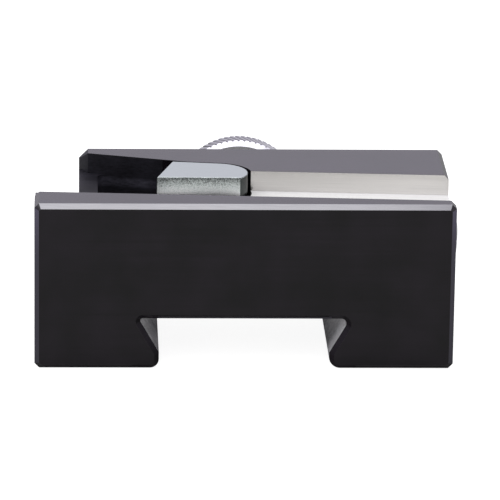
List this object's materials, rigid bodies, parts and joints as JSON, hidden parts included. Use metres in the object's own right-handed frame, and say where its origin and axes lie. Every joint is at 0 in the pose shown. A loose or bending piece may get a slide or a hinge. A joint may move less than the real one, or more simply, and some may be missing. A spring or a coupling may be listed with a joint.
{
  "type": "parting tool holder",
  "caption": "Dovetail block for a quick-change lathe tool post that clamps a parting blade with a wedge and has a knurled height nut.",
  "frame": {"origin": "middle of the dovetail's mouth, at the end that faces down in use", "axes": "+X along the block towards the screw's head, +Y along the dovetail towards the height stud, +Z out of the blade channel"},
  "size_m": [0.091, 0.0815, 0.0363],
  "materials": {
    "black_steel": "black oxide with fine brush lines",
    "ground_steel": "ground bright",
    "zinc_steel": "zinc plated"
  },
  "bodies": {
    "holder": {"holder_body": "black_steel", "height_stud": "black_steel"},
    "clamp_screw": {"clamp_screw": "zinc_steel"},
    "clamp_wedge": {"clamp_wedge": "ground_steel"},
    "lock_nut": {"lock_nut": "zinc_steel"},
    "height_nut": {"height_nut": "zinc_steel"}
  },
  "joints": [
    {"name": "clamp_screw_turn", "type": "hinge", "parent": "holder", "child": "clamp_screw", "pos_m": [-0.0056, 0.02525, 0.0238], "axis": [0.99, -0.1409, 0], "range_deg": [0, 1800]},
    {"name": "clamp_wedge_slide", "type": "slide", "parent": "holder", "child": "clamp_wedge", "axis": [-0.99, 0.1409, 0], "range_m": [0, 0.005]},
    {"name": "height_nut_spin", "type": "hinge", "parent": "lock_nut", "child": "height_nut", "pos_m": [0.00058, 0.0622, 0.0188], "axis": [0, 1, 0], "range_deg": [-3600, 1200]},
    {"name": "height_travel", "type": "slide", "parent": "holder", "child": "lock_nut", "axis": [0, 1, 0], "range_m": [-0.015, 0.005]}
  ],
  "couplings": [
    {"joint": "clamp_screw_turn", "follows": "clamp_wedge_slide", "rad_per_m": 6283.2},
    {"joint": "height_travel", "follows": "height_nut_spin", "m_per_rad": 0.00023873}
  ]
}
